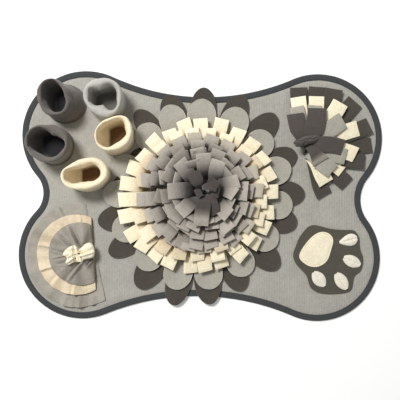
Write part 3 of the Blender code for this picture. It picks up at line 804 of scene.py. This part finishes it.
# The fan: four half rings of the same fringe, opening to the right from a crumpled dark knot.
FAN_X, FAN_Y = 194, 88
FAN_START, FAN_SWEEP = -68, 180
FAN_LOOSE = Loose(3.0, 6.0, 3.0)
FAN_TOP_ROOTS = [40, 30, 70, 100]
DARK_WARM = (80, 73, 69)
FAN_ROWS = [
    Fringe("fan_row_1", 30, 8, 14, 5, 0.4, 31),
    Fringe("fan_row_2", 23, 15, 22, 7, 0.4, 30),
    Fringe("fan_row_3", 16, 21, 29, 8, 0.4, 30),
    Fringe("fan_row_4", 9, 28, 38, 10, 0.4, 30),
]
FAN_STRIPS = [
    [
        Strip(-64, 97, 8, 31),
        Strip(-37, 108, 8, 31, -6),
        Strip(-11, 121, 8, 29, 4),
        Strip(4, 134, 8, 29, 3),
        Strip(20, 137, 8, 31, 4),
        Strip(42, 138, 8, 33, 6),
        Strip(62, 131, 8, 32, 16),
        Strip(76, 124, 9.5, 33, 13),
        Strip(93, 119, 8, 33, -2),
    ],
    [
        Strip(-55, 78, 15, 30, -6),
        Strip(-27, 87, 15, 30, -13),
        Strip(-6, 101, 15, 30, -16),
        Strip(21, 113, 15, 30, -5),
        Strip(51, 114, 15, 31, 10),
        Strip(75, 105, 15, 29, 15),
        Strip(95, 100, 15, 29, 2),
    ],
    [
        Strip(-37, 69, 21, 30),
        Strip(-10, 82, 21, 30),
        Strip(36, 93, 21, 32, -4),
        Strip(75, 86, 21, 27, 14),
        Strip(99, 81, 21, 27, 0),
    ],
    [
        Strip(-38, 40, 28, 34, -18, 1.0),
        Strip(2, 74, 28, 30, -19),
        Strip(72, 80, 28, 36, 16),
        Strip(103, 68, 28, 34, -6),
    ],
]
KNOT_X, KNOT_Y, KNOT_Z = 200, 104, 33
KNOT_LONG, KNOT_WIDE, KNOT_TURN = 50, 15, 17
KNOT_HIGH, KNOT_RIDGES, KNOT_DEEP = 2.0, 2, 6.0
KNOT_DRAWN_IN = 1.4

dark_warm_fleece = fleece("warm_dark_fleece", DARK_WARM, (158, 150, 140))
# The cream row's deep share is painted shade towards the strips' roots.
FAN_LOOKS = [
    RowLook(dark_fleece, "dark_fleece"),
    RowLook(cream_fleece, "cream_fleece", (0.0,), 0.8),
    RowLook(light_fleece, "light_fleece"),
    RowLook(dark_warm_fleece, "taupe_fleece"),
]
for number, (row, strips, look) in enumerate(zip(FAN_ROWS, FAN_STRIPS, FAN_LOOKS)):
    step = FAN_SWEEP / len(strips)
    roots = [FAN_START + step * (place + 0.5) for place in range(len(strips))]
    if row.node == "fan_row_4":
        roots = FAN_TOP_ROOTS
    middle = Vector((FAN_X, FAN_Y, 0))
    fringe(row, roots, strips, (FAN_START, FAN_SWEEP), middle, look, FAN_LOOSE, number + 31)


def knot_place(u, v):
    """A soft mound of cloth, drawn into uneven ridges that run along it and into each other."""
    along, across = 2 * u - 1, 2 * v - 1
    x = along * math.sqrt(1 - across**2 / 2)
    y = across * math.sqrt(1 - along**2 / 2)
    away = min(1, math.hypot(x, y))
    flat = Vector((x * KNOT_LONG, y * KNOT_WIDE, 0))
    sway = 1.4 * uneven(flat, 16, 4)
    ridge = abs(math.sin(math.pi * KNOT_RIDGES / 2 * y + sway * 2 + 1.1 * x)) ** 0.6
    spot = Matrix.Rotation(math.radians(KNOT_TURN), 3, "Z") @ (flat / 2)
    spot *= 1 + 0.22 * uneven(direction(math.degrees(math.atan2(y, x))) * 30, 16, 6)
    height = (KNOT_HIGH + KNOT_DEEP * ridge + 2.2 * uneven(flat, 6, 3)) * (1 - away**4)
    return spot + Vector((KNOT_X, KNOT_Y, KNOT_Z + height))


bm = bmesh.new()
formed(bm, 48, 36, knot_place)
knot = piece("fan_knot", bm, dark_warm_fleece, "taupe_fleece", thick=CLOTH)
cloth_sheet(knot, (KNOT_LONG, KNOT_WIDE * KNOT_DRAWN_IN))

# The cups: tubes of fleece with a round bottom, sewn to the mat by their turned-out foot, with a
# thick rolled rim that sags into a different shape on each. Inside, the left wall leans in to
# the floor, as far from the cup's middle as the table's wall says.
CUP_FLAT, CUP_CLOTH = (235, 75), (230, 140)
CUP_AROUND = 84
CUP_WRINKLE = 0.9
CUP_SHADE, CUP_SHADE_FALL = 0.15, 0.3
RIM_SAG = 2.2
CUP_WALL_TOP = 0.75
Cup = namedtuple("Cup", "node x y foot_a foot_b turn lean_x lean_y tall wall outer inner")
CUPS = [
    Cup(
        "cup_taupe", -257, 176, 36, 34, 0, -12, 7, 58, 22,
        (28, 27, 27, 31, 32, 31, 29, 30, 34, 37, 38, 34),
        (18, 18, 21, 27, 26, 23, 21, 20, 23, 28, 30, 24),
    ),
    Cup(
        "cup_light_grey", -178, 179, 33, 32, 0, 1, 0, 58, 27,
        (34, 36, 37, 36, 38, 39, 36, 33, 33, 35, 36, 35),
        (23, 26, 27, 19, 18, 28, 27, 22, 14, 12, 25, 27),
    ),
    Cup(
        "cup_charcoal", -279, 95, 34, 33, 0, -2, 1, 58, 26,
        (40, 40, 38, 34, 37, 40, 40, 36, 34, 35, 38, 40),
        (33, 24, 18, 23, 30, 33, 34, 27, 22, 25, 27, 29),
    ),
    Cup(
        "cup_cream_round", -159, 112, 31, 29, 55, 2, 1, 58, 17,
        (33, 36, 38, 32, 31, 33, 36, 37, 35, 31, 30, 31),
        (21, 22, 29, 25, 23, 26, 32, 32, 27, 17, 15, 16),
    ),
    Cup(
        "cup_cream_oval", -213, 39, 38, 27, 9, 1, 1, 56, 15,
        (44, 42, 35, 29, 28, 32, 43, 41, 33, 29, 30, 36),
        (28, 27, 20, 13, 13, 19, 37, 31, 17, 14, 15, 21),
    ),
]
CupLevel = namedtuple("CupLevel", "rise inward grow scale", defaults=(0.0, 1.0))
CUP_LEVELS = [
    CupLevel(0.00, 0.0, 3.5, 0.0),
    CupLevel(0.00, 0.0, 3.5),
    CupLevel(0.02, 0.0, 3.8),
    CupLevel(0.045, 0.0, 2.4),
    CupLevel(0.07, 0.0, 0.5),
    CupLevel(0.16, 0.0, 0.6),
    CupLevel(0.28, 0.0, 1.2),
    CupLevel(0.42, 0.0, 1.4),
    CupLevel(0.56, 0.0, 0.8),
    CupLevel(0.68, 0.0, -0.6),
    CupLevel(0.76, 0.0, -0.4),
    CupLevel(0.84, 0.0, 0.6),
    CupLevel(0.92, 0.03, 0.4),
    CupLevel(0.975, 0.12),
    CupLevel(1.00, 0.28),
    CupLevel(1.00, 0.45),
    CupLevel(0.985, 0.60),
    CupLevel(0.95, 0.75),
    CupLevel(0.90, 0.88),
    CupLevel(0.83, 0.97),
    CupLevel(0.75, 1.0),
    CupLevel(0.66, 0.98),
    CupLevel(0.56, 0.95),
    CupLevel(0.44, 0.91),
    CupLevel(0.31, 0.87),
    CupLevel(0.18, 0.83),
    CupLevel(0.05, 0.80),
    CupLevel(0.035, 0.80, 0.0, 0.7),
    CupLevel(0.035, 0.80, 0.0, 0.35),
    CupLevel(0.035, 0.80, 0.0, 0.0),
]


def around(radii, angle):
    """The smooth radius at this angle from a list of radii at even steps round the circle."""
    count = len(radii)
    place = angle % 360 / 360 * count
    first = int(place)
    before, start, end, after = (radii[(first + k) % count] for k in (-1, 0, 1, 2))
    t = place - first
    turn = (end - before) * t
    bend = (2 * before - 5 * start + 4 * end - after) * t**2
    rest = (3 * start - before - 3 * end + after) * t**3
    return start + (turn + bend + rest) / 2


def cup_place(cup, seed):
    def place(u, v):
        angle = 360 * u
        level = CUP_LEVELS[round(v * (len(CUP_LEVELS) - 1))]
        way = direction(angle)
        local = math.radians(angle - cup.turn)
        span = math.hypot(cup.foot_b * math.cos(local), cup.foot_a * math.sin(local))
        foot = cup.foot_a * cup.foot_b / span
        rim = between(around(cup.outer, angle), around(cup.inner, angle), level.inward)
        share = max(level.rise**0.85, level.inward)
        radius = (between(foot, rim, share) + level.grow) * level.scale
        if -way.x > 0.1 and level.inward > 0.5:
            depth = max(0, 1 - level.rise / CUP_WALL_TOP)
            wall = between(around(cup.inner, 180), cup.wall, depth)
            radius = min(radius, wall / -way.x * level.scale)
        spot = way * 30 + Vector((0, 0, level.rise * cup.tall * 0.45))
        radius += CUP_WRINKLE * uneven(spot, 11, seed) * min(1, level.rise * 3) * level.scale
        sag = RIM_SAG * uneven(way * 30, 24, seed + 1) * level.rise**4
        point = way * radius + Vector((cup.lean_x, cup.lean_y, 0)) * level.rise
        point += Vector((cup.x, cup.y, MAT_TOP + cup.tall * level.rise + sag))
        return point

    return place


def cup_painted_shade(u, v):
    """Painted shade: none outside, some down the wall inside, and full on the floor."""
    level = CUP_LEVELS[round(v * (len(CUP_LEVELS) - 1))]
    if level.inward < 0.5:
        return 0.0
    if level.rise < 0.04:
        return 1.0
    return min(CUP_SHADE, max(0, (0.8 - level.rise) * CUP_SHADE_FALL))


# Each cup's second colour is painted shade, for the inside of its wall and its floor.
cup_cream = fleece("cup_cream_fleece", (248, 233, 200), (98, 72, 48))
CUP_LOOKS = [
    (fleece("cup_taupe_fleece", (104, 97, 92), (34, 33, 38)), "taupe_fleece"),
    (fleece("cup_light_fleece", (186, 184, 176), (106, 103, 98)), "light_fleece"),
    (fleece("charcoal_fleece", (108, 102, 95), (38, 38, 42)), "charcoal_fleece"),
    (cup_cream, "cream_fleece"),
    (cup_cream, "cream_fleece"),
]
for number, (cup, (finish, slot)) in enumerate(zip(CUPS, CUP_LOOKS)):
    bm = bmesh.new()
    place = cup_place(cup, number + 3)
    formed(bm, CUP_AROUND, len(CUP_LEVELS) - 1, place, CUP_CLOTH, cup_painted_shade)
    made = piece(cup.node + "_cloth", bm, finish, slot, [cup.node], closed=True)
    cloth_sheet(made, CUP_FLAT, 2)

# The pocket: three round layers of fleece, cut off along a slanting edge on the right. They are
# gathered under the bow, from which the top layer's folds run out. The rims lie in soft waves.
BOW_X, BOW_Y = -229, -109
Layer = namedtuple("Layer", "node x y radius cut_high cut_low base rim_wave fold puff gape")
LAYERS = [
    Layer("skirt_lower", -233, -114, 99, 8, 48, 0.0, 5.5, 0.0, 0.0, 3.0),
    Layer("skirt_cream", -236, -112, 76, 20, 30, 4.0, 4.0, 0.0, 0.0, 7.0),
    Layer("skirt_top", -229, -110, 60, 20, 29, 7.5, 2.5, 4.0, 7.0, 7.0),
]
Fold = namedtuple("Fold", "angle wide")
FOLDS = [Fold(58, 12), Fold(96, 9), Fold(119, 9), Fold(146, 10), Fold(180, 12)]
FOLDS += [Fold(210, 11), Fold(240, 11), Fold(286, 14), Fold(330, 12)]
FOLD_SPREAD = 1.5
WAVES, WAVE_START, SLOW_WAVES = 5, 40, 2
FINE_WAVES, FINE_HIGH = 22, 1.4
CUT_TOP, CUT_BOTTOM = 102, -94
FACING_LEAST = 0.01
CREASE_DEEP = 2.6
OPENING_X, OPENING_WIDE, OPENING_END = 26, 16, 76
BOW_HOLDS, BOW_LETS_GO = 16, 24
LAYER_WANDER, LAYER_RUMPLE = 1.4, 0.6
LAYER_DEEP = 1.7
Crease = namedtuple("Crease", "x0 y0 x1 y1 wide deep")
TOP_CREASES = [
    Crease(-33, 26, -15, 11, 3.2, 4.2),
    Crease(-13, 39, 2, 12, 3.0, 5.0),
    Crease(7, -11, -16, -40, 3.4, -4.2),
    Crease(25, -11, 17, -22, 2.4, -2.4),
    Crease(-47, 4, -28, -1, 2.2, 1.8),
    Crease(-44, -9, -27, -5, 2.0, -1.5),
    Crease(-36, -21, -24, -19, 2.4, 1.5),
]
CREAM_CREASES = [
    Crease(-72, 18, -52, 14, 3.2, 2.2),
    Crease(-70, -33, -52, -28, 3.2, -2.2),
    Crease(-52, -56, -42, -44, 3.5, 2.0),
    Crease(-14, -76, -12, -60, 3.5, 2.2),
    Crease(-48, 50, -38, 40, 3.5, 1.6),
    Crease(2, 72, 3, 58, 3.5, 1.6),
]
LOWER_CREASES = [
    Crease(-40, 88, -30, 66, 4.0, 2.0),
    Crease(-6, -102, -6, -86, 6.0, 2.2),
    Crease(20, -98, 18, -86, 6.0, 2.2),
    Crease(-36, -96, -32, -84, 6.0, 2.0),
]
POCKET_AROUND, POCKET_ALONG = 150, 26


def layer_edge(layer, angle):
    """How far the layer reaches from the bow: to its round, or to the slanting cut."""
    way = direction(angle).xy
    to_centre = Vector((layer.x - BOW_X, layer.y - BOW_Y))
    along = way.dot(to_centre)
    reach = along + math.sqrt(layer.radius**2 - to_centre.length_squared + along**2)
    start = Vector((layer.cut_high, CUT_TOP * layer.radius / LAYERS[0].radius))
    end = Vector((layer.cut_low, CUT_BOTTOM * layer.radius / LAYERS[0].radius))
    normal = Vector((start.y - end.y, end.x - start.x)).normalized()
    facing = way.dot(normal)
    if facing > FACING_LEAST:
        reach = min(reach, start.dot(normal) / facing)
    return reach


def pleated(creases, point):
    """Each crease is a ridge with a valley close beside it, fading out at its two ends."""
    total = 0.0
    for crease in creases:
        start = Vector((crease.x0, crease.y0))
        run = Vector((crease.x1, crease.y1)) - start
        share = (point - start).dot(run) / run.length_squared
        off = (point - start).cross(run) / run.length / crease.wide
        fade = math.exp(-((max(0, share - 1) + max(0, -share)) * 2.5) ** 2)
        total += crease.deep * CREASE_DEEP * off * math.exp(-(off**2) + 0.5) * fade
    return total


def layer_place(layer, creases, seed):
    def place(u, v):
        angle = 360 * u
        edge = layer_edge(layer, angle)
        edge += LAYER_WANDER * uneven(direction(angle) * edge, 30, seed)
        share = v**0.8
        flat = direction(angle) * edge * share
        out = edge * share / layer.radius
        quick = math.sin(math.radians(WAVES * angle + WAVE_START))
        slow = math.cos(math.radians(SLOW_WAVES * angle))
        waved = layer.rim_wave * (1 + quick * slow) / 2 * out**4
        fine = FINE_HIGH * (1 + math.sin(math.radians(FINE_WAVES * angle))) / 2 * out**3
        fine *= 1 - bool(layer.fold)
        offs = [((angle - fold.angle + 180) % 360 - 180) / fold.wide for fold in FOLDS]
        ridge = 1 - max(math.exp(-(off**2)) for off in offs)
        folded = layer.fold * ridge * math.sin(math.pi * share**FOLD_SPREAD)
        rumple = LAYER_RUMPLE * uneven(flat, 13, seed + 1)
        free = min(1, max(0, abs(flat.y) - BOW_HOLDS) / BOW_LETS_GO)
        free *= max(0, 1 - (flat.y / OPENING_END) ** 2)
        rumple += layer.gape * math.exp(-(((flat.x - OPENING_X) / OPENING_WIDE) ** 2)) * free
        point = flat + Vector((BOW_X, BOW_Y, 0))
        height = waved + fine + folded + layer.puff * (1 - share**2) + rumple
        point.z = MAT_TOP + layer.base + max(0, height + pleated(creases, flat.xy))
        return point

    return place


# Each layer's second colour is painted shade, laid on in broad streaks.
POCKET_LOOKS = [
    (fleece("skirt_grey_fleece", (169, 163, 152), (138, 131, 119)), "light_fleece"),
    (fleece("skirt_cream_fleece", (226, 209, 180), (196, 175, 144)), "cream_fleece"),
    (fleece("skirt_dark_grey_fleece", (158, 151, 140), (118, 112, 101)), "grey_fleece"),
]
LAYER_CREASES = [LOWER_CREASES, CREAM_CREASES, TOP_CREASES]


def painted_shade_streaks(u, v):
    """Broad streaks of painted shade that run out from the gathers."""
    return max(0, uneven(direction(360 * u) * 25 + Vector((0, 0, v * 8)), 9, 2)) * 1.6


for number, (layer, creases) in enumerate(zip(LAYERS, LAYER_CREASES)):
    finish, slot = POCKET_LOOKS[number]
    bm = bmesh.new()
    place = layer_place(layer, creases, number + 60)
    formed(bm, POCKET_AROUND, POCKET_ALONG, place, tint=painted_shade_streaks)
    made = piece(layer.node + "_cloth", bm, finish, slot, [layer.node], thick=CLOTH, lift=1)
    cloth_sheet(made, (2 * layer.radius, LAYER_DEEP * layer.radius))

# The bow: a strip of cream fleece folded into two wings and pinched at its middle.
BOW_OUTLINE = [(24, 20), (30, 8), (28, -6), (11, -11), (7, -16), (-8, -16), (-19, -21)]
BOW_OUTLINE += [(-25, -17), (-22, -8), (-30, -1), (-22, 10), (-11, 16), (-5, 14), (2, 10), (13, 19)]
BOW_FLAT = (64, 46)
BOW_Z, BOW_HIGH = 20.1, 12
BOW_PINCH, BOW_KNOT = 0.45, 18
BowLevel = namedtuple("BowLevel", "share height")
BOW_LEVELS = [
    BowLevel(0.0, 0.0),
    BowLevel(0.5, 0.0),
    BowLevel(0.75, 0.2),
    BowLevel(0.93, 1.6),
    BowLevel(1.0, 4.0),
    BowLevel(0.98, 6.0),
    BowLevel(0.93, 7.8),
    BowLevel(0.85, 9.3),
    BowLevel(0.75, 10.4),
    BowLevel(0.64, 11.1),
    BowLevel(0.52, 11.5),
    BowLevel(0.4, 11.8),
    BowLevel(0.28, 11.9),
    BowLevel(0.14, 12.0),
    BowLevel(0.0, 12.0),
]
BOW_CREASES = [
    Crease(-10, 13, -7, -15, 2.0, 3.0),
    Crease(0, 12, 3, -10, 2.0, -3.0),
    Crease(7, -1, 24, 4, 2.2, 3.0),
    Crease(-12, 1, -24, -8, 2.2, -3.0),
    Crease(8, 10, 22, 14, 1.8, 1.6),
    Crease(-13, 9, -22, 5, 1.6, 1.6),
    Crease(-12, -12, -20, -17, 1.8, 1.6),
]


def looped(points, share):
    """The point at this share of the smooth closed curve through the given ones."""
    x = around([point[0] for point in points], share * 360)
    return Vector((x, around([point[1] for point in points], share * 360), 0))


def bow_place(u, v):
    level = BOW_LEVELS[round(v * (len(BOW_LEVELS) - 1))]
    point = looped(BOW_OUTLINE, u) * level.share
    swell = between(BOW_PINCH, 1, min(1, abs(point.x) / BOW_KNOT))
    height = level.height * swell
    if level.height > 1:
        height += (pleated(BOW_CREASES, point.xy) + uneven(point, 5, 9)) * level.height / BOW_HIGH
    return point + Vector((BOW_X, BOW_Y, BOW_Z + max(0, height)))


bm = bmesh.new()
formed(bm, 110, len(BOW_LEVELS) - 1, bow_place)
bow_fleece = fleece("bow_cream_fleece", (251, 240, 212))
bow = piece("bow_cloth", bm, bow_fleece, "cream_fleece", ["bow"], closed=True)
cloth_sheet(bow, BOW_FLAT, 2)

# The paw: a dark patch sewn flat to the mat, and on it a cream pad and four creased toes, each
# sewn down close to its cut edge, so that the edge stands up as a pale rim outside the stitches.
PATCH = [(214, -56), (250, -63), (273, -65), (294, -66), (304, -79), (306, -100), (312, -121)]
PATCH += [(308, -142), (295, -155), (289, -180), (268, -187), (233, -187), (212, -176)]
PATCH += [(203, -152), (184, -131), (178, -113), (184, -94), (193, -75)]
PAD = [(190, -119), (195, -101), (214, -78), (231, -69), (246, -72), (254, -84), (250, -103)]
PAD += [(242, -124), (225, -135), (206, -133)]
PATCH_X, PATCH_Y = 246, -124
PAD_X, PAD_Y = 222, -101
PATCH_FLAT, PAD_FLAT = (136, 133), (80, 62)
PAD_Z = MAT_TOP + CLOTH + GAP
PATCH_CROWN, PATCH_GROOVE = 0.3, 0.3
PAD_CROWN, PAD_GROOVE = 1.2, 1.1
SEAM_IN, SEAM_WIDE = 3.2, 1.3
PAD_STEPS = 120
PAD_STITCH = (2.6, 3.6, 0.5)
Toe = namedtuple("Toe", "node x y length wide turn blunt fullest")
TOES = [
    Toe("paw_toe_1", 283, -85, 33, 20, 14, 0.5, 1.7),
    Toe("paw_toe_2", 290, -125, 33, 19, -24, 0.55, 1.0),
    Toe("paw_toe_3", 227, -159, 32, 21, -52, 0.6, 1.0),
    Toe("paw_toe_4", 270, -163, 34, 20, -56, 0.55, 1.0),
]


def patch_place(points, centre, height, crown, seam):
    """From the middle out to the outline, crowned a little, with a groove under the stitches."""

    def place(u, v):
        edge = looped(points, u)
        share = v**0.7
        point = centre + (edge - centre) * share
        inside = (edge - centre).length * (1 - share)
        groove = seam * math.exp(-(((inside - SEAM_IN) / SEAM_WIDE) ** 2))
        rumple = 0.35 * uneven(point, 15, 8) * (1 - share**4)
        point.z = height + max(0, crown * (1 - share**3) + rumple - groove)
        return point

    return place


def toe_place(toe):
    laid = Matrix.Rotation(math.radians(toe.turn - 90), 3, "Z")

    def place(u, v):
        side = math.sin((2 * u - 1) * math.pi / 2)
        station = between(0.02, 0.98, (1 - math.cos(math.pi * v)) / 2)
        half = toe.wide / 2 * math.sin(math.pi * station**toe.fullest) ** toe.blunt
        rounding = (1 - side**2) * 0.1 * (station - 0.5)
        flat = Vector((side * half, toe.length * (station - 0.5 + rounding), 0))
        lift = 2.4 * (1 - side**2) ** 0.6 - 2.2 * math.exp(-((side / 0.18) ** 2))
        crumple = 0.6 * uneven(laid @ flat, 5, toe.x)
        swell = 1 - abs(station - 0.5) * 1.2
        point = laid @ flat + Vector((toe.x, toe.y, 0))
        point.z = PAD_Z + max(0, lift * swell + crumple * (1 - side**2))
        return point

    return place


bm = bmesh.new()
centre = Vector((PATCH_X, PATCH_Y, 0))
formed(bm, 120, 20, patch_place(PATCH, centre, MAT_TOP, PATCH_CROWN, PATCH_GROOVE))
patch_look = fleece("patch_dark_fleece", (82, 78, 68))
patch = piece("paw_patch_cloth", bm, patch_look, "dark_fleece", ["paw_patch"], thick=CLOTH, lift=1)
cloth_sheet(patch, PATCH_FLAT)

bm = bmesh.new()
centre = Vector((PAD_X, PAD_Y, 0))
formed(bm, 110, 24, patch_place(PAD, centre, PAD_Z, PAD_CROWN, PAD_GROOVE))
pad_look = fleece("pad_cream_fleece", (247, 236, 208))
pad = piece("paw_pad_cloth", bm, pad_look, "cream_fleece", ["paw_pad"], thick=CLOTH, lift=1)
bm = bmesh.new()
ring = []
for step in range(PAD_STEPS):
    edge = looped(PAD, step / PAD_STEPS) - centre
    spot = centre + edge * (1 - SEAM_IN / edge.length)
    ring.append(spot + Vector((0, 0, PAD_Z + CLOTH + 0.2)))
stitched(bm, ring, *PAD_STITCH)
cream_thread = thread("cream_thread", (196, 184, 152))
pad_seam = piece("paw_pad_stitches", bm, cream_thread, "cream_fleece")
cloth_sheet(pad, PAD_FLAT)

toe_look = fleece("toe_cream_fleece", (240, 233, 215))
for toe in TOES:
    bm = bmesh.new()
    formed(bm, 16, 24, toe_place(toe))
    made = piece(toe.node + "_cloth", bm, toe_look, "cream_fleece", [toe.node], thick=CLOTH, lift=1)
    cloth_sheet(made, (toe.wide, toe.length))
